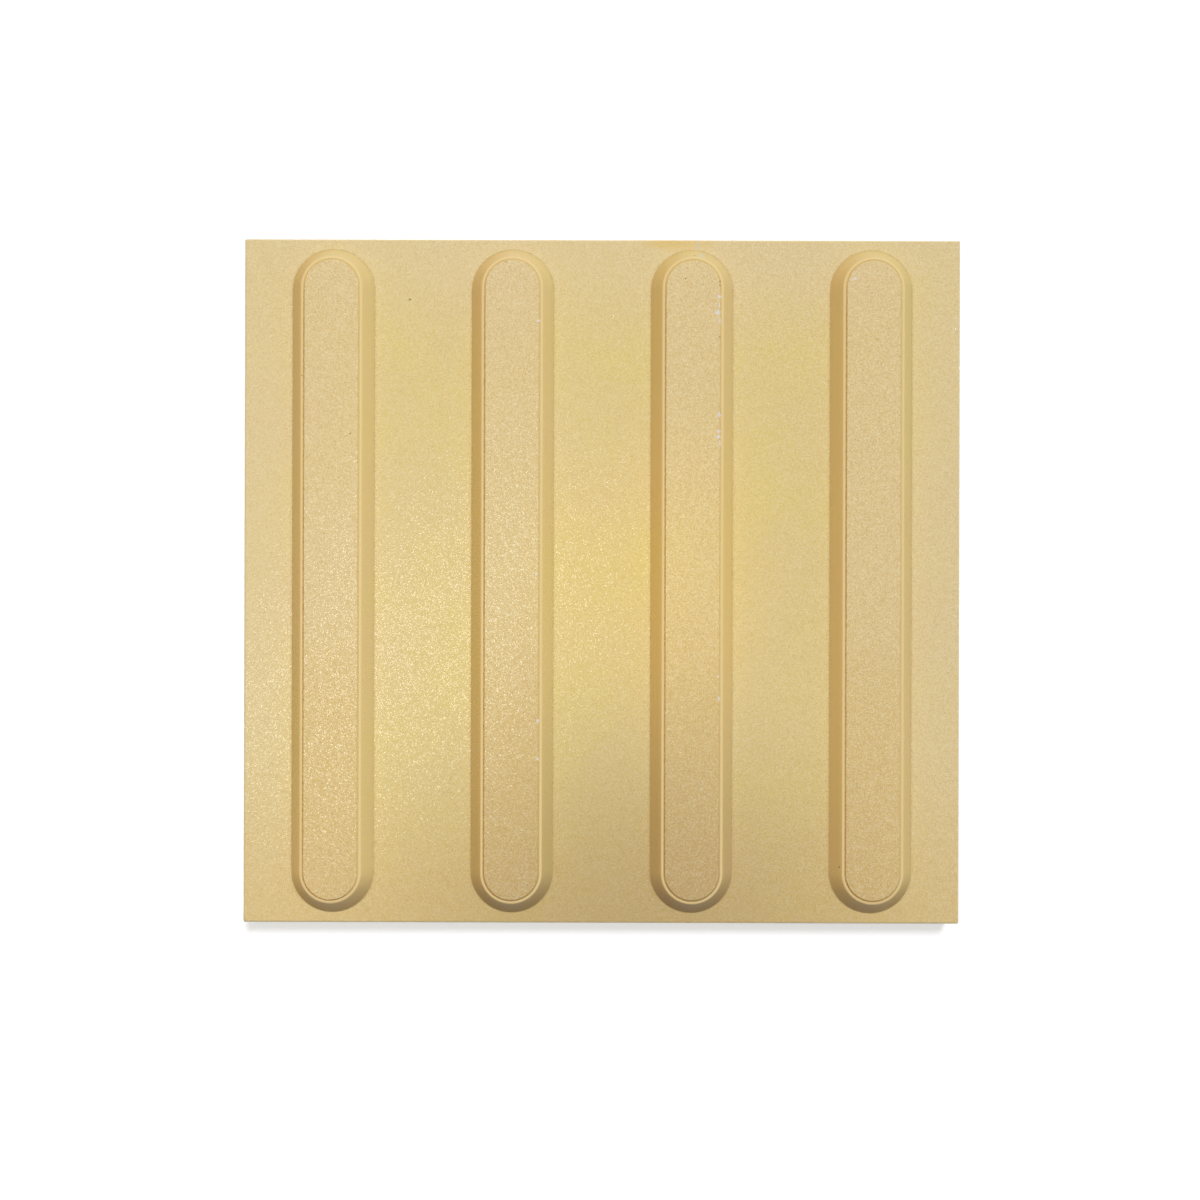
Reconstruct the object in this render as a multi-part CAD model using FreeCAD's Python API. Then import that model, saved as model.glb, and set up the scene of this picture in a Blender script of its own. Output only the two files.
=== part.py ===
import FreeCAD, Part
import math
import os

V = FreeCAD.Vector

# Tactile paving slab, pressed and fired in one piece, lying with its walking face up.
# Millimetres. Origin in the middle of the bed face, X across the bars, Y along them, Z up.

# Slab
slab_width = 300.0
slab_length = 286.5
slab_thickness = 15.0  # bed face to walking face, bars not counted
corner_radius = 1.0  # upright edges at the four corners
arris_radius = 0.8  # worn edge round the walking face

# Guidance bars, each in the middle of its own strip so that the strips run on over the joints
bar_count = 4
bar_height = 5.0
bar_base_width = 34.5
bar_top_width = 25.0
bar_end_margin = 4.5  # foot of a bar to the end of the slab

# Narrow smooth lip round the top of each bar, and the groove that parts it from the gripping face
lip_width = 0.75
lip_radius = 0.3
groove_width = 0.6
groove_depth = 0.28

# Shallow keys pressed into the bed face, which hold the mortar
key_count = 12
key_mouth_width = 6.0
key_floor_width = 4.0
key_depth = 1.0
key_end_margin = 10.0  # end of a key to the end of the slab


def outline(*steps):
    """Closed flat face from points in order, where a pair of points is an arc's middle and end."""
    edges = []
    last = steps[0]
    for step in steps[1:] + steps[:1]:
        if isinstance(step, tuple):
            edges.append(Part.Arc(last, step[0], step[1]).toShape())
            last = step[1]
        else:
            edges.append(Part.makeLine(last, step))
            last = step
    return Part.Face(Part.Wire(edges))


def rounded(before, corner, after, radius):
    """Start, middle and end of the arc that rounds off a corner."""
    back = (before - corner).normalize()
    ahead = (after - corner).normalize()
    half_angle = back.getAngle(ahead) / 2
    inward = (back + ahead).normalize()
    reach = radius / math.tan(half_angle)
    middle = corner + inward * (radius / math.sin(half_angle) - radius)
    return corner + back * reach, middle, corner + ahead * reach


def round_ended(half_section, straight_length):
    """Solid with straight sides along Y and half-round ends, from half of its cross section."""
    side = half_section.extrude(V(0, straight_length, 0))
    side.translate(V(0, -straight_length / 2, 0))
    end = half_section.revolve(V(0, 0, 0), V(0, 0, 1), 180)
    end.translate(V(0, straight_length / 2, 0))
    opposite = []
    for half in (side, end):
        turned = half.copy()
        turned.rotate(V(0, 0, 0), V(0, 0, 1), 180)
        opposite.append(turned)
    return side.fuse([end] + opposite).removeSplitter()


def row_across(solid, count):
    """Copies of a solid, one in the middle of each of so many equal strips of the slab's width."""
    strip = slab_width / count
    copies = []
    for i in range(count):
        copy = solid.copy()
        copy.translate(V((i + 0.5) * strip - slab_width / 2, 0, 0))
        copies.append(copy)
    return copies


def blank_slab():
    """Plain slab with rounded corners and a rounded edge round the walking face."""
    corner = V(-slab_width / 2, -slab_length / 2, 0)
    block = Part.makeBox(slab_width, slab_length, slab_thickness, corner)
    upright = [e for e in block.Edges if abs(e.tangentAt(e.FirstParameter).z) > 0.5]
    block = block.makeFillet(corner_radius, upright)
    top = [e for e in block.Edges if e.BoundBox.ZMin > slab_thickness - arris_radius / 2]
    return block.makeFillet(arris_radius, top)


def guidance_bar():
    """Flat-topped bar with sloping flanks, a lip along its upper edge and a groove inside the lip."""
    foot = slab_thickness
    top = slab_thickness + bar_height
    lip_edge = bar_top_width / 2
    groove_outer = lip_edge - lip_width
    groove_inner = groove_outer - groove_width
    base_edge = V(bar_base_width / 2, 0, foot)
    groove_start = V(groove_outer, 0, top)
    groove_floor = V((groove_outer + groove_inner) / 2, 0, top - groove_depth)
    groove_end = V(groove_inner, 0, top)
    lip_start, lip_middle, lip_end = rounded(base_edge, V(lip_edge, 0, top), groove_start, lip_radius)
    half_section = outline(
        V(0, 0, foot),
        base_edge,
        lip_start,
        (lip_middle, lip_end),
        groove_start,
        (groove_floor, groove_end),
        V(0, 0, top),
    )
    return round_ended(half_section, slab_length - 2 * bar_end_margin - bar_base_width)


def bed_key():
    """Hollow of one key, as a solid to cut away."""
    half_section = outline(
        V(0, 0, 0),
        V(key_mouth_width / 2, 0, 0),
        V(key_floor_width / 2, 0, key_depth),
        V(0, 0, key_depth),
    )
    return round_ended(half_section, slab_length - 2 * key_end_margin - key_mouth_width)


slab = blank_slab().cut(row_across(bed_key(), key_count))
slab = slab.fuse(row_across(guidance_bar(), bar_count)).removeSplitter()
slab = slab.Solids[0]

os.makedirs("parts", exist_ok=True)
slab.exportStep("parts/tactile_slab.step")
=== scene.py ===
import math

import bmesh
import bpy
import numpy as np
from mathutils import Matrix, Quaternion, Vector, noise


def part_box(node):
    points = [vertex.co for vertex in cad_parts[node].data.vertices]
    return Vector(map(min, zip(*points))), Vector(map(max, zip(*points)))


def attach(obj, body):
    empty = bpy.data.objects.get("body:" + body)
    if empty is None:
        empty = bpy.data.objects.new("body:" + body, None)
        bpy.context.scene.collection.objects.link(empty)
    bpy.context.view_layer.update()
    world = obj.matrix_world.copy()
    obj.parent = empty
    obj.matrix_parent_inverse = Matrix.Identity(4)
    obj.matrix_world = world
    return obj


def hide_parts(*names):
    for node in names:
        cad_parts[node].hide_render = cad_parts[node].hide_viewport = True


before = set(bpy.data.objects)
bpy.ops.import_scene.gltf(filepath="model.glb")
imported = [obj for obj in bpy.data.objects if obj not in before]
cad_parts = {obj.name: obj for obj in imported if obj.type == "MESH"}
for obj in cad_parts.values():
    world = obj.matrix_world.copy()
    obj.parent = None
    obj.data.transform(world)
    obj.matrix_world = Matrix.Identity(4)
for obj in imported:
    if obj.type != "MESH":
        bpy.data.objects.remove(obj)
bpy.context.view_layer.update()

# Tactile paving slab of buff stoneware, pressed and fired in one piece, lying with its walking face up.
# Sizes are in millimetres, with X across the bars, Y along them and Z up from the bed face.
MM = 0.001

# Slab
low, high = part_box("tactile_slab")
WIDTH = (high.x - low.x) / MM
LENGTH = (high.y - low.y) / MM
BAR_HEIGHT = 5.0
FACE = (high.z - low.z) / MM - BAR_HEIGHT  # height of the walking face beside the bars
ARRIS = 0.8  # radius of the worn edge round the walking face
LOWER_EDGE = [(0.05, 0.14), (0.22, 0.0)]  # rounding at the bed face: set back from the side, height

# Guidance bars, each in the middle of its own strip
BARS = 4
STRIP = WIDTH / BARS
FOOT = 34.5 / 2  # half the width at the walking face
CREST = 25.0 / 2  # half the width at the top
END_MARGIN = 4.5  # foot of a bar to the end of the slab
REACH = LENGTH / 2 - END_MARGIN - FOOT  # middle of a bar to the centre of its round end

# Lip along a bar's upper edge, and the groove that parts it from the grained top
LIP = 0.75
GROOVE = 0.6
GROOVE_DEPTH = 0.28
GROOVE_OUTER = CREST - LIP
GROOVE_INNER = GROOVE_OUTER - GROOVE

# Section of a bar: distance outward from the edge that is named, and height.
# Heights count from the bar's top, and at the foot from the walking face.
FROM_GROOVE_INNER = [
    (-0.3, 0.0),
    (-0.06, -0.015),
    (0.04, -0.1),
    (0.14, -0.22),
    (0.27, -GROOVE_DEPTH),
    (0.42, -0.22),
    (0.55, -0.15),
]
FROM_GROOVE_OUTER = [(0.1, -0.11), (0.3, -0.11), (0.5, -0.14)]
FROM_CREST = [(-0.05, -0.2), (0.15, -0.3), (0.35, -0.44)]
FROM_FOOT = [(-0.1, 0.13), (0.05, 0.03), (0.22, 0.0)]
FLANK_SHARES = (0.35, 0.65, 0.955)  # of the way down the flank

# Shallow round-ended keys in the bed face
KEYS = 12
KEY_MOUTH = 6.0 / 2
KEY_FLOOR = 4.0 / 2
KEY_DEPTH = 1.0
KEY_MARGIN = 10.0  # end of a key to the end of the slab
KEY_SECTION = [  # half width, height over the bed face
    (KEY_MOUTH, 0.0),
    (KEY_MOUTH - 0.12, 0.07),
    (KEY_FLOOR + 0.15, KEY_DEPTH - 0.06),
    (KEY_FLOOR - 0.1, KEY_DEPTH),
]

# Mesh density
SIDE_STEPS = 360  # along a bar's straight side
END_STEPS = 44  # round a bar's end, on the side of the slab's end
CORNER_STEPS = 12  # round a bar's end, on the side of each neighbouring strip
GROUND_SHARES = (0.05, 0.5, 0.97, 1.0)  # of the way from a bar's foot to the border of its strip
ARRIS_TURNS = (0, 22.5, 45, 67.5, 90)  # degrees round the worn edge
UPRIGHT_TURNS = 6  # steps round each upright corner
KEY_TURN = 15  # degrees between points round a key's end
WELD = 0.004  # points nearer to each other than this become one
CREASE = 38  # degrees between faces from which an edge stays sharp

# Roughness of the pressed shape: depth, size of its lumps, seed
GROOVE_STRAY = (0.16, 0.9, 1.0)
GROOVE_FRAY = (0.08, 0.45, 5.0)
GROOVE_PITS = (0.10, 1.1, 3.0)
LIP_DENTS = (0.02, 1.6, 7.0)
ARRIS_LUMPS = (0.05, 2.5, 11.0)
ARRIS_GRAIN = (0.05, 0.9, 12.0)
NICK_GRAIN = (0.5, 0.5, 9.0)

# Nicks in the worn edge: place, width and depth
EDGE_NICKS = [
    (150.0, 90.0, 0.9, 0.7),
    (52.0, -143.25, 1.0, 0.35),
    (-150.0, -61.0, 1.4, 0.3),
    (-88.0, 143.25, 1.2, 0.25),
]
NICK_REACH = 4.0  # how far down the side a nick runs out

# Marks on the walking face: place, half width and half height
DARK_SPECKS = [
    (-80.7, 117.8, 0.55, 0.55),
    (-104.5, 60.5, 0.4, 0.4),
    (-30.4, 86.4, 0.3, 0.3),
    (-124.6, 84.7, 0.3, 0.3),
    (48.5, 124.0, 0.4, 0.45),
    (48.6, 122.4, 0.35, 0.35),
    (38.1, 135.2, 0.35, 0.35),
    (34.3, 125.2, 0.4, 0.35),
    (41.6, 122.9, 0.3, 0.3),
    (48.6, 101.0, 0.3, 0.35),
    (-40.1, 131.9, 0.35, 0.3),
    (-46.4, -124.2, 0.3, 0.3),
    (-30.6, -126.3, 0.3, 0.35),
    (98.9, -118.8, 0.35, 0.35),
    (-103.2, -42.2, 0.35, 0.35),
]
PALE_FLAKES = [
    (48.5, 117.8, 1.0, 0.8),
    (48.4, 114.2, 0.4, 1.2),
    (47.7, 111.2, 1.35, 1.05),
    (48.6, 107.6, 0.45, 1.8),
    (48.5, 68.9, 0.8, 1.3),
    (48.4, 61.9, 0.9, 0.8),
    (48.2, 59.6, 0.95, 0.85),
    (48.7, 57.0, 0.35, 1.6),
    (48.3, -39.7, 0.5, 0.6),
    (48.6, -48.8, 0.5, 1.3),
    (-26.5, 107.6, 0.7, 0.55),
    (-27.2, 2.7, 0.7, 0.7),
    (-26.5, -58.3, 0.6, 1.1),
    (-26.5, -74.1, 0.55, 0.8),
    (104.5, 125.3, 0.95, 0.45),
    (-45.3, 126.5, 0.3, 0.3),
]
OCHRE_SMEARS = [
    (24.0, 142.6, 9.0, 3.6),
    (34.0, 142.9, 14.0, 5.5),
]
GREY_SMEARS = [
    (41.4, 135.6, 1.5, 1.5),
    (39.9, 140.6, 0.8, 2.4),
]

# Painted light laid over the whole slab: a painted shadow over the middle of the near end, and a painted
# warm pool of light in the middle; place and half sizes of each patch, and what it does to the colour
PAINTED_SHADOW_AND_GLOW = [
    # painted shadow over the middle of the near end
    ((15.0, -160.0, 156.0, 139.0), (0.73, 0.70, 0.685, 1.0)),
    # painted warm pool of light in the middle
    ((24.0, 2.0, 75.0, 90.0), (1.08, 1.05, 0.90, 1.0)),
]

# Where painted light and shade change the colour across the slab: begins, and is complete
LIT_SIDES = (100.0, 150.0)  # distance from the middle line, either way
LIT_FAR_END = (90.0, 143.0)
SHADED_NEAR_END = (-60.0, -143.0)
SHADED_BAR_TOPS = (0.0, -60.0)
SHADED_FLANK_ENDS = (-118.5, -138.5)
SHADED_GROOVES = (130.0, 110.0)

# Fineness of the clay, in lumps to the metre, and heights of its relief
CLOUDS = 22
SHEEN_PATCHES = 60
SWELLS = 150
DIRT_DOTS = 800
RELIEF = 900
RAGGED_EDGES = 1600
GRAINS = 2400
SWELL_HEIGHT = 0.12
RELIEF_HEIGHT = 0.06


def srgb(r, g, b):
    """A colour written in 0 to 255 screen values, as linear light."""
    return tuple(((c / 255 + 0.055) / 1.055) ** 2.4 for c in (r, g, b)) + (1.0,)


# Colours of the clay, and of the painted light and shade laid over it
TREAD_YELLOW = srgb(227, 204, 129)
TREAD_BUFF = srgb(226, 201, 138)
RIM_PAINTED_LIGHT = srgb(229, 206, 160)
NEAR_END_PAINTED_SHADE = srgb(221, 189, 122)
BAR_TOP_PALE = srgb(228, 199, 145)
BAR_TOP_PAINTED_SHADE = srgb(220, 186, 122)
PIT_BROWN_AND_SHADE = srgb(190, 162, 96)
CHAMOTTE_AND_SPARKLE = srgb(250, 236, 190)
FLANK_YELLOW = srgb(222, 198, 127)
FLANK_BUFF = srgb(224, 196, 132)
LEFT_FLANK_PAINTED_SHADE = srgb(220, 166, 72)
LIP_PAINTED_HIGHLIGHT = srgb(237, 209, 147)
EDGE_WEAR_AND_LIGHT = srgb(248, 226, 172)
SIDE_BUFF = srgb(214, 190, 138)

# Colours of the painted shade, of dirt with painted shade, and of the marks
FLANK_END_PAINTED_SHADE = srgb(143, 108, 61)
GROOVE_DIRT_AND_SHADE = srgb(158, 112, 58)
FOOT_DIRT_AND_SHADE = srgb(148, 124, 74)
OCHRE = srgb(226, 190, 104)
GREY = srgb(204, 202, 184)
FLAKE_WHITE = srgb(232, 228, 228)
SPECK_BROWN = srgb(92, 74, 48)


def wobble(x, y, roughness, bar=0):
    """Smooth noise at a place on the slab, up to about the roughness's depth either way."""
    depth, size, seed = roughness
    return depth * noise.noise(Vector((x / size, y / size, seed + bar)))


def border_distance(c, s, left, right, end):
    """How far a strip's border lies in a direction from the centre of its bar's round end."""
    nothing = 1e-9
    limits = []
    if c > nothing:
        limits.append(right / c)
    if c < -nothing:
        limits.append(left / -c)
    if abs(s) > nothing:
        limits.append(end / abs(s))
    return min(limits)


def round_a_bar(left, right):
    """Walk once round a bar: places on its middle line, outward directions and the strip's border."""
    end = LENGTH / 2 - ARRIS - REACH
    turn_right = math.atan2(end, right)
    turn_left = math.atan2(end, left)
    ys = np.linspace(-REACH, REACH, SIDE_STEPS, endpoint=False)
    walk = []

    def along_side(places, direction, border):
        for y in places:
            walk.append((0, y, direction, 0, border, y))

    def round_end(y, first_turn, last_turn, start):
        turns = ((start, start + first_turn, CORNER_STEPS),
                 (start + first_turn, start + math.pi - last_turn, END_STEPS),
                 (start + math.pi - last_turn, start + math.pi, CORNER_STEPS))
        for begin, finish, steps in turns:
            for a in np.linspace(begin, finish, steps, endpoint=False):
                c, s = math.cos(a), math.sin(a)
                far = border_distance(c, s, left, right, end)
                walk.append((0, y, c, s, c * far, y + s * far))

    along_side(ys, 1, right)
    round_end(REACH, turn_right, turn_left, 0)
    along_side(-ys, -1, -left)
    round_end(-REACH, turn_left, turn_right, math.pi)
    walk = np.array(walk)
    return walk[:, 0:2], walk[:, 2:4], walk[:, 4:6]


def bar_profile():
    """Rings from a bar's middle line out to its foot: radius, height over the walking face."""
    rings = [(0.0, BAR_HEIGHT)]
    upper = ((GROOVE_INNER, FROM_GROOVE_INNER), (GROOVE_OUTER, FROM_GROOVE_OUTER), (CREST, FROM_CREST))
    for edge, section in upper:
        rings += [(edge + out, BAR_HEIGHT + up) for out, up in section]
    rings += [(CREST + (FOOT - CREST) * share, BAR_HEIGHT * (1 - share)) for share in FLANK_SHARES]
    rings += [(FOOT + out, up) for out, up in FROM_FOOT]
    return rings


def bar_point(x, y, outward, r, height, bar):
    """A point of a bar's section, with the roughness at that place."""
    at_groove_edge = GROOVE_INNER - 0.2 < r < GROOVE_INNER + 0.35
    in_groove = GROOVE_INNER < r < GROOVE_OUTER
    on_lip = CREST - 0.4 < r < CREST + 0.3
    stray = 0.0
    drop = 0.0
    if at_groove_edge:
        stray = wobble(x, y, GROOVE_STRAY, bar) + wobble(x, y, GROOVE_FRAY)
    if in_groove:
        drop = max(0.0, wobble(x, y, GROOVE_PITS, bar))
    if on_lip:
        drop = max(0.0, wobble(x, y, LIP_DENTS))
    return x + outward[0] * stray, y + outward[1] * stray, FACE + height - drop


def ring_faces(count, rings, start):
    """Quads between successive closed rings of vertices."""
    faces = []
    for k in range(rings - 1):
        a = start + k * count
        b = a + count
        for i in range(count):
            j = (i + 1) % count
            faces.append((a + i, b + i, b + j, a + j))
    return faces


def walking_face(verts, faces):
    """The bars and the ground around them, strip by strip; returns the border's four edges in order."""
    profile = bar_profile()
    top_start = SIDE_STEPS + CORNER_STEPS
    top_end = top_start + END_STEPS
    bottom_start = top_end + CORNER_STEPS + SIDE_STEPS + CORNER_STEPS
    bottom_end = bottom_start + END_STEPS
    bottom_edge, right_edge, top_edge, left_edge = [], [], [], []
    for bar in range(BARS):
        centre = (bar + 0.5) * STRIP - WIDTH / 2
        left = STRIP / 2 - (ARRIS if bar == 0 else 0)
        right = STRIP / 2 - (ARRIS if bar == BARS - 1 else 0)
        middles, outward, border = round_a_bar(left, right)
        middles = middles + (centre, 0)
        border = border + (centre, 0)
        start = len(verts)
        for r, height in profile:
            for (x, y), out in zip(middles + outward * r, outward):
                verts.append(bar_point(x, y, out, r, height, bar))
        foot = middles + outward * profile[-1][0]
        for share in GROUND_SHARES:
            for x, y in foot + (border - foot) * share:
                verts.append((x, y, FACE))
        faces += ring_faces(len(middles), len(profile) + len(GROUND_SHARES), start)
        bottom_edge += list(border[bottom_start:bottom_end])
        top_edge = list(border[top_start:top_end]) + top_edge
        if bar == BARS - 1:
            right_edge = list(border[bottom_end:]) + list(border[:top_start])
        if bar == 0:
            left_edge = list(border[top_end:bottom_start])
    return bottom_edge, right_edge, top_edge, left_edge


def border_walk(edges):
    """The border of the walking face as places with outward directions, turning at each corner."""
    quarter = math.pi / 2
    walk = []
    for number, edge in enumerate(edges):
        angle = -quarter + number * quarter
        for i, (x, y) in enumerate(edge):
            turns = UPRIGHT_TURNS if i == 0 else 1
            for t in range(turns):
                a = angle - quarter * (turns - 1 - t) / UPRIGHT_TURNS
                walk.append((x, y, math.cos(a), math.sin(a)))
    return walk


def nick_depth(x, y):
    """How deep the deepest nick bites at a place on the worn edge."""
    deepest = 0.0
    for nick_x, nick_y, width, depth in EDGE_NICKS:
        away = math.hypot(x - nick_x, y - nick_y) / (width / 2)
        if away < 1:
            ragged = 0.75 + wobble(x, y, NICK_GRAIN)
            deepest = max(deepest, depth * (1 - away ** 2) * ragged)
    return deepest


def edges_and_sides(verts, faces, walk):
    """Worn edge, upright sides and the lower edge; returns the index of the lowest ring."""
    wear_depth = 0.05
    slump = 0.6  # how far a worn point also sinks, as a share of how far it goes in
    rings = []
    for turn in ARRIS_TURNS:
        a = math.radians(turn)
        rings.append((ARRIS * math.sin(a), FACE - ARRIS * (1 - math.cos(a)), math.sin(a)))
    rings.append((ARRIS, FACE - 2 * ARRIS, 0.25))
    rings += [(ARRIS, z, 0.0) for z in (FACE - NICK_REACH, FACE / 2, 4.0, 1.2, 0.45)]
    rings += [(ARRIS - back, z, 0.0) for back, z in LOWER_EDGE]
    start = len(verts)
    for out, z, wear in rings:
        nicked = 0.4 + 0.6 * wear if z > FACE - NICK_REACH else 0.0
        for x, y, nx, ny in walk:
            px = x + nx * out
            py = y + ny * out
            bite = wear * (wear_depth + wobble(px, py, ARRIS_LUMPS) + wobble(px, py, ARRIS_GRAIN))
            bite = max(0.0, bite) + nick_depth(px, py) * nicked
            verts.append((px - nx * bite, py - ny * bite, z - slump * bite if wear else z))
    faces += ring_faces(len(walk), len(rings), start)
    return start + (len(rings) - 1) * len(walk)


def bed_face(bm, border):
    """Flat underside with its row of shallow round-ended keys."""
    edges = []
    for i in range(len(border)):
        ends = (border[i], border[i - 1])
        edges.append(bm.edges.get(ends) or bm.edges.new(ends))
    half = LENGTH / 2 - KEY_MARGIN - KEY_MOUTH
    turns = [math.radians(a) for a in range(0, 181, KEY_TURN)]
    for key in range(KEYS):
        centre = (key + 0.5) * WIDTH / KEYS - WIDTH / 2
        loops = []
        for r, z in KEY_SECTION:
            ring = []
            for flip in (1, -1):
                for a in turns:
                    x = centre + flip * math.cos(a) * r
                    y = flip * (half + math.sin(a) * r)
                    ring.append(bm.verts.new((x * MM, y * MM, z * MM)))
            loops.append(ring)
        count = len(loops[0])
        for lower, upper in zip(loops, loops[1:]):
            for i in range(count):
                bm.faces.new((lower[i - 1], lower[i], upper[i], upper[i - 1]))
        bm.faces.new(loops[-1])
        edges += [bm.edges.get((loops[0][i], loops[0][i - 1])) for i in range(count)]
    bmesh.ops.triangle_fill(bm, use_beauty=True, use_dissolve=False, edges=edges, normal=(0, 0, -1))


def rise(value, start, full):
    """0 up to the start and 1 from full on, even between them; it falls where full is the lower one."""
    return np.clip((value - start) / (full - start), 0, 1)


def surface_zones(mesh):
    """Marks the smooth faces, the parts of a bar, the worn edge, and what is side or underside."""
    co = np.empty(len(mesh.vertices) * 3)
    mesh.vertices.foreach_get("co", co)
    x, y, z = (co.reshape(-1, 3) / MM).T
    bar = np.clip(np.floor((x + WIDTH / 2) / STRIP), 0, BARS - 1)
    centre = (bar + 0.5) * STRIP - WIDTH / 2
    r = np.hypot(x - centre, np.maximum(np.abs(y) - REACH, 0))
    above = z > FACE - 0.2
    depth = FACE + BAR_HEIGHT - z
    on_bar = rise(r, FOOT + 0.1, FOOT - 0.05)
    in_groove = (r > GROOVE_INNER - 0.02) * (r < GROOVE_OUTER + 0.05)
    shaded_left = np.clip(0.55 - 0.45 * (x - centre) / CREST, 0, 1)  # painted shade: the grooves darker on the left, the side turned from the light
    zones = {
        "smooth": rise(r, GROOVE_INNER - 0.1, GROOVE_INNER + 0.1) * on_bar * above,
        "crest": (r < GROOVE_INNER + 0.1) * above,
        "groove": rise(depth, 0.05, 0.2) * in_groove * shaded_left,
        "lip": (r > GROOVE_OUTER - 0.02) * (r < CREST + 0.2) * above,
        "foot": rise(np.abs(r - FOOT), 0.3, 0.0) * above,
        "edge": rise(z, FACE, FACE - 0.1),
        "body": rise(z, FACE - 0.5, FACE - 1.1),
        # how far a flank faces left, which takes the painted shade
        "left": np.clip((centre - x) / np.maximum(r, CREST), 0, 1),
    }
    for name, values in zones.items():
        layer = mesh.attributes.new(name, "FLOAT", "POINT")
        layer.data.foreach_set("value", np.asarray(values, dtype=np.float32))


def make_slab():
    """The whole slab as one closed mesh."""
    verts, faces = [], []
    walk = border_walk(walking_face(verts, faces))
    lowest = edges_and_sides(verts, faces, walk)
    bm = bmesh.new()
    made = [bm.verts.new((x * MM, y * MM, z * MM)) for x, y, z in verts]
    for face in faces:
        bm.faces.new([made[i] for i in face])
    bed_face(bm, made[lowest:lowest + len(walk)])
    bmesh.ops.remove_doubles(bm, verts=bm.verts, dist=WELD * MM)
    bmesh.ops.recalc_face_normals(bm, faces=bm.faces)
    mesh = bpy.data.meshes.new("dressed_slab")
    bm.to_mesh(mesh)
    bm.free()
    mesh.shade_smooth()
    mesh.set_sharp_from_angle(angle=math.radians(CREASE))
    for face in mesh.polygons:
        on_bed = face.center.z < 0.001 * MM
        if on_bed:
            face.use_smooth = False
    surface_zones(mesh)
    slab = bpy.data.objects.new("dressed_slab", mesh)
    bpy.context.scene.collection.objects.link(slab)
    return slab


class Nodes:
    """Short names for building the nodes of a material or world, which start out empty."""

    def __init__(self, holder):
        holder.use_nodes = True
        self.tree = holder.node_tree
        self.tree.nodes.clear()

    def add(self, kind, inputs=(), **settings):
        """A node with its settings, and its inputs linked or set."""
        node = self.tree.nodes.new(kind)
        for name, value in settings.items():
            setattr(node, name, value)
        for key, value in dict(inputs).items():
            self.put(node.inputs[key], value)
        return node

    def put(self, socket, value):
        if isinstance(value, bpy.types.NodeSocket):
            self.tree.links.new(value, socket)
        else:
            socket.default_value = value

    def finish(self, kind, shader):
        output = self.add(kind)
        self.tree.links.new(shader.outputs[0], output.inputs["Surface"])

    def math(self, operation, a, b=0.0, c=0.0):
        return self.add("ShaderNodeMath", {0: a, 1: b, 2: c}, operation=operation).outputs[0]

    def vector(self, operation, a, b=(0.0, 0.0, 0.0)):
        node = self.add("ShaderNodeVectorMath", {0: a, 1: b}, operation=operation)
        return node.outputs["Value" if operation in ("LENGTH", "DOT_PRODUCT") else "Vector"]

    def noise(self, where, scale, detail=2.0, rough=0.5):
        inputs = {"Vector": where, "Scale": scale, "Detail": detail, "Roughness": rough}
        return self.add("ShaderNodeTexNoise", inputs).outputs["Fac"]

    def ramp(self, value, low, high, to_low=0.0, to_high=1.0):
        """Even change from one value to another between two marks."""
        inputs = {"Value": value, "From Min": low, "From Max": high, "To Min": to_low, "To Max": to_high}
        return self.add("ShaderNodeMapRange", inputs).outputs["Result"]

    def fade(self, value, start, full):
        """Soft rise from 0 at one value to 1 at another."""
        inputs = {"Value": value, "From Min": start, "From Max": full}
        return self.add("ShaderNodeMapRange", inputs, interpolation_type="SMOOTHSTEP").outputs["Result"]

    def across(self, value, span):
        """Soft rise from 0 to 1 over a span of the slab."""
        return self.fade(value, span[0] * MM, span[1] * MM)

    def blend(self, amount, a, b, mode="MIX"):
        """Colour a with an amount of colour b over it."""
        node = self.add("ShaderNodeMix", data_type="RGBA", blend_type=mode)
        self.put(node.inputs[0], amount)
        self.put(node.inputs[6], a)
        self.put(node.inputs[7], b)
        return node.outputs[2]

    def layers(self, colour, rows):
        """Colours laid over a colour in turn, from rows of where, how strongly and which."""
        for where, strength, tint in rows:
            colour = self.blend(self.math("MULTIPLY", where, strength), colour, tint)
        return colour

    def zone(self, name):
        return self.add("ShaderNodeAttribute", attribute_name=name).outputs["Fac"]

    def away(self, where, x, y, half_width, half_height):
        """Distance from a place on the walking face, 1 on the border of an oval round it."""
        middle = (x * MM, y * MM, (FACE + BAR_HEIGHT / 2) * MM)
        reach = (half_width * MM, half_height * MM, FACE * 0.8 * MM)
        return self.vector("LENGTH", self.vector("DIVIDE", self.vector("SUBTRACT", where, middle), reach))

    def mark(self, where, ragged, strength, oval):
        """Ragged oval spot on the walking face."""
        return self.ramp(self.math("ADD", self.away(where, *oval), ragged), 0.5, 1.1, strength, 0.0)

    def seen(self):
        """1 on the rays that show a backdrop: from the camera, mirrored or through glass."""
        rays = self.add("ShaderNodeLightPath").outputs
        seen = self.math("MAXIMUM", rays["Is Camera Ray"], rays["Is Glossy Ray"])
        return self.math("MAXIMUM", seen, rays["Is Transmission Ray"])


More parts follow.
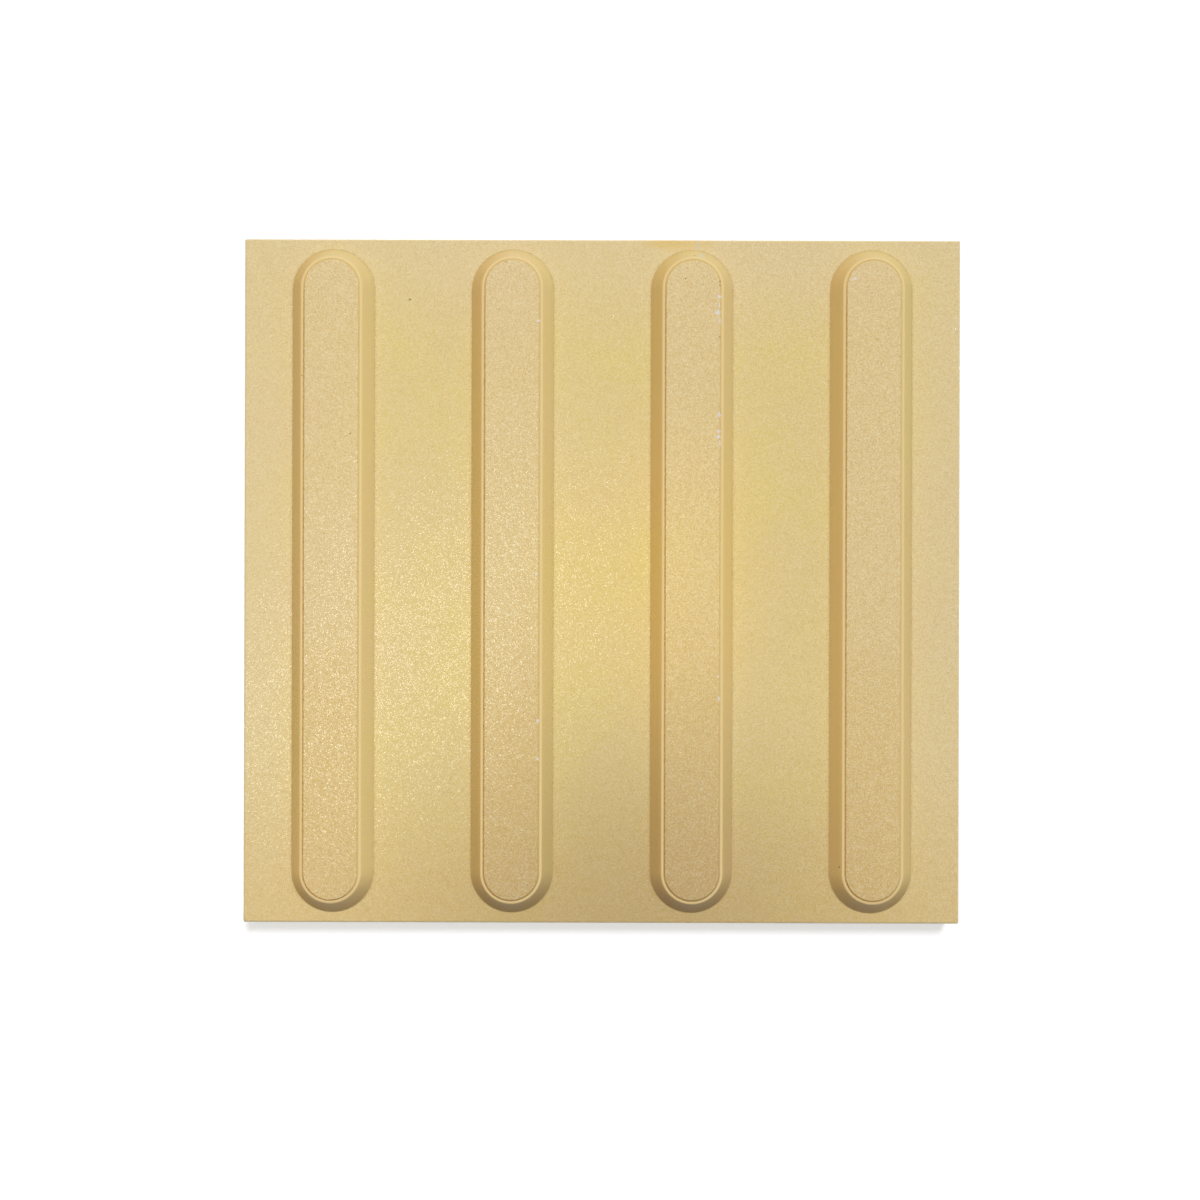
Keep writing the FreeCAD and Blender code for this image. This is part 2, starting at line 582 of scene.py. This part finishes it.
def slab_colour(n, where, zone, shade, speckled):
    """Clay of the treads and flanks with painted light and shade laid in, a painted shadow and a painted
    pool of light, then wear on the edge with painted light, dirt with painted shade, and marks.
    """
    x, y, _ = n.add("ShaderNodeSeparateXYZ", {0: where}).outputs
    cloud = n.ramp(n.noise(where, CLOUDS, 3, 0.55), 0.35, 0.65)
    lit_rim = n.math("MAXIMUM", n.across(n.math("ABSOLUTE", x), LIT_SIDES), n.across(y, LIT_FAR_END))
    # painted shade: the bars' tops darker towards the near end
    bar_top_shaded = n.blend(n.across(y, SHADED_BAR_TOPS), BAR_TOP_PALE, BAR_TOP_PAINTED_SHADE)
    # random tone of the grains, with painted shade in the dark ones and painted sparkle in the pale ones
    pits_and_shade = n.ramp(shade, 0.0, 0.4, 0.31, 0.0)
    chamotte_and_sparkle = n.ramp(shade, 0.6, 1.0, 0.0, 0.36)
    tread = n.layers(n.blend(cloud, TREAD_YELLOW, TREAD_BUFF), [
        # painted light: paler towards the sides and the far end
        (lit_rim, 0.55, RIM_PAINTED_LIGHT),
        # painted shade: darker towards the near end
        (n.across(y, SHADED_NEAR_END), 0.6, NEAR_END_PAINTED_SHADE),
        (zone["crest"], 0.6, bar_top_shaded),
        (pits_and_shade, speckled, PIT_BROWN_AND_SHADE),
        (chamotte_and_sparkle, speckled, CHAMOTTE_AND_SPARKLE),
    ])
    flank = n.layers(n.blend(cloud, FLANK_YELLOW, FLANK_BUFF), [
        # painted shade: the flanks turned to the left darker and warmer
        (zone["left"], 0.38, LEFT_FLANK_PAINTED_SHADE),
        # painted shade: the flanks at the bars' near ends darker
        (n.across(y, SHADED_FLANK_ENDS), 0.6, FLANK_END_PAINTED_SHADE),
    ])
    colour = n.blend(zone["smooth"], tread, flank)
    # painted shadow and painted pool of light, multiplied over the clay's colour
    for oval, tint in PAINTED_SHADOW_AND_GLOW:
        colour = n.blend(n.fade(n.away(where, *oval), 1.0, 0.15), colour, tint, "MULTIPLY")
    arris = n.math("SUBTRACT", zone["edge"], zone["body"])
    dots = n.ramp(n.noise(where, DIRT_DOTS), 0.42, 0.64, 0.3, 0.65)
    colour = n.layers(colour, [
        # painted highlight along the lip
        (zone["lip"], 0.85, LIP_PAINTED_HIGHLIGHT),
        # the rounded edge paler: wear, together with painted light that lifts its shade
        (arris, 0.85, EDGE_WEAR_AND_LIGHT),
        # dirt and painted shade in the grooves, fading out towards the far end
        (zone["groove"], n.math("MULTIPLY", dots, n.across(y, SHADED_GROOVES)), GROOVE_DIRT_AND_SHADE),
        # dirt and painted shade in the crease at the bars' feet
        (zone["foot"], dots, FOOT_DIRT_AND_SHADE),
        (zone["body"], 0.6, SIDE_BUFF),
    ])
    ragged = n.ramp(n.noise(where, RAGGED_EDGES, 2, 0.6), 0.3, 0.7, -0.35, 0.35)
    kinds = (
        (OCHRE_SMEARS, 0.45, OCHRE),
        (GREY_SMEARS, 0.6, GREY),
        (PALE_FLAKES, 0.85, FLAKE_WHITE),
        (DARK_SPECKS, 0.75, SPECK_BROWN),
    )
    for marks, strength, tint in kinds:
        for oval in marks:
            colour = n.blend(n.mark(where, ragged, strength, oval), colour, tint)
    return colour


def slab_normal(n, where, zone, grains, grained, speckled):
    """Swells and fine relief of the treads, and the leaning facets of the grains."""
    swell = n.math("MULTIPLY", n.noise(where, SWELLS), grained)
    swells = n.add("ShaderNodeBump", {"Strength": 1.0, "Distance": SWELL_HEIGHT * MM, "Height": swell})
    rough = n.math("MULTIPLY_ADD", zone["body"], 0.6, n.math("MULTIPLY", grained, speckled))
    relief = n.add("ShaderNodeBump", {
        "Strength": 1.0,
        "Distance": RELIEF_HEIGHT * MM,
        "Height": n.math("MULTIPLY", n.noise(where, RELIEF, 2, 0.6), rough),
        "Normal": swells.outputs[0],
    })
    lean = n.math("MULTIPLY", grained, n.ramp(zone["crest"], 0.0, 1.0, 0.18, 0.22))
    facets = n.vector("MULTIPLY", n.vector("SUBTRACT", grains, (0.5, 0.5, 0.5)), lean)
    return n.vector("NORMALIZE", n.vector("ADD", relief.outputs[0], facets))


def stoneware():
    """Unglazed buff stoneware: grained and glinting on its treads, smooth on the bars' flanks."""
    material = bpy.data.materials.new("buff_stoneware")
    n = Nodes(material)
    where = n.add("ShaderNodeTexCoord").outputs["Object"]
    names = ("smooth", "crest", "groove", "lip", "foot", "edge", "body", "left")
    zone = {name: n.zone(name) for name in names}
    grains = n.add("ShaderNodeTexVoronoi", {"Vector": where, "Scale": GRAINS}).outputs["Color"]
    shade = n.add("ShaderNodeSeparateColor", {0: grains}).outputs[2]
    speckled = n.ramp(zone["crest"], 0.0, 1.0, 1.0, 1.4)
    grained = n.math("SUBTRACT", 1.0, n.math("MAXIMUM", zone["smooth"], zone["edge"]))
    sheen = n.ramp(n.noise(where, SHEEN_PATCHES), 0.3, 0.7, 0.40, 0.46)
    glints = n.ramp(shade, 0.54, 0.76, 0.0, -0.31)
    shader = n.add("ShaderNodeBsdfPrincipled", {
        "Base Color": slab_colour(n, where, zone, shade, speckled),
        "Roughness": n.math("MULTIPLY_ADD", glints, grained, sheen),
        "IOR": 1.6,
        "Normal": slab_normal(n, where, zone, grains, grained, speckled),
    })
    n.finish("ShaderNodeOutputMaterial", shader)
    return material


def make_floor():
    """Pale floor under and around the slab, white from above with the slab's shadow, clear from below."""
    half = 1.6
    z = -0.1 * MM
    mesh = bpy.data.meshes.new("floor")
    corners = [(-half, -half, z), (half, -half, z), (half, half, z), (-half, half, z)]
    mesh.from_pydata(corners, [], [(0, 1, 2, 3)])
    floor = bpy.data.objects.new("floor", mesh)
    bpy.context.scene.collection.objects.link(floor)
    material = bpy.data.materials.new("floor_white")
    n = Nodes(material)
    matt = n.add("ShaderNodeBsdfDiffuse", {"Color": (0.55, 0.55, 0.55, 1)})
    shown = n.math("MULTIPLY", n.seen(), 0.6)
    glow = n.add("ShaderNodeEmission", {"Color": (1, 1, 1, 1), "Strength": shown})
    white = n.add("ShaderNodeAddShader", {0: matt.outputs[0], 1: glow.outputs[0]})
    clear = n.add("ShaderNodeBsdfTransparent")
    below = n.add("ShaderNodeNewGeometry").outputs["Backfacing"]
    sheet = n.add("ShaderNodeMixShader", {0: below, 1: white.outputs[0], 2: clear.outputs[0]})
    n.finish("ShaderNodeOutputMaterial", sheet)
    mesh.materials.append(material)


def area_light(name, place, target, size, power, colour, turn=0, mirrored=True):
    """Oval lamp aimed at a target and turned about its own axis, in metres, watts and degrees."""
    data = bpy.data.lights.new(name, "AREA")
    data.shape = "ELLIPSE"
    data.size, data.size_y = size
    data.energy = power
    data.color = colour
    light = bpy.data.objects.new(name, data)
    light.location = place
    light.visible_glossy = mirrored
    aim = (Vector(target) - Vector(place)).to_track_quat("-Z", "Y")
    light.rotation_euler = (aim @ Quaternion((0, 0, 1), math.radians(turn))).to_euler()
    bpy.context.scene.collection.objects.link(light)


def make_world(strength, stronger_from, cooler_from, warm_tint, cool_tint):
    """Soft light from all round, uneven in strength and tint, and plain white where it is seen."""
    world = bpy.data.worlds.new("studio")
    bpy.context.scene.world = world
    n = Nodes(world)
    direction = n.add("ShaderNodeTexCoord").outputs["Generated"]
    slope = n.vector("DOT_PRODUCT", direction, stronger_from)
    level = n.math("MULTIPLY", n.math("ADD", slope, 1.0), strength)
    hue = n.vector("DOT_PRODUCT", direction, cooler_from)
    tint = n.blend(n.ramp(hue, -0.7, 0.7), warm_tint, cool_tint)
    seen = n.seen()
    level = n.add("ShaderNodeMix", {0: seen, 2: level, 3: 1.0}, data_type="FLOAT").outputs[0]
    tint = n.blend(seen, tint, (1, 1, 1, 1))
    n.finish("ShaderNodeOutputWorld", n.add("ShaderNodeBackground", {"Color": tint, "Strength": level}))


def make_camera():
    """Straight down on the slab, a little below its middle, as the photograph was taken."""
    data = bpy.data.cameras.new("camera")
    data.sensor_width = 36
    data.lens = 33.23
    data.shift_x = 0.0126
    data.shift_y = 0.06
    data.clip_start = 0.01
    camera = bpy.data.objects.new("camera", data)
    camera.location = (-0.007, -0.038, 0.479)
    camera.rotation_euler = (0, 0, math.radians(0.15))
    bpy.context.scene.collection.objects.link(camera)
    bpy.context.scene.camera = camera


slab = make_slab()
slab.data.materials.append(stoneware())
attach(slab, "root")
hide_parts("tactile_slab")

make_floor()
make_world(
    strength=0.20,
    stronger_from=(0.30, 0.95, 0),
    cooler_from=(0.8, 0.5, 0),
    warm_tint=(1, 0.79, 0.44, 1),
    cool_tint=(1, 0.98, 1.0, 1),
)
area_light(
    "softbox",
    place=(1.0, 2.4, 5.0),
    target=(0, 0, FACE * MM),
    size=(1.2, 1.2),
    power=206,
    colour=(0.985, 1.02, 1.11),
    mirrored=False,
)
area_light(
    "ceiling_lamp",
    place=(-0.164, -0.018, 0.52),
    target=(-0.164, -0.018, FACE * MM),
    size=(0.38, 0.1),
    power=0.43,
    colour=(1, 0.94, 0.78),
    turn=35,
)
make_camera()
bpy.context.scene.view_settings.view_transform = "Standard"
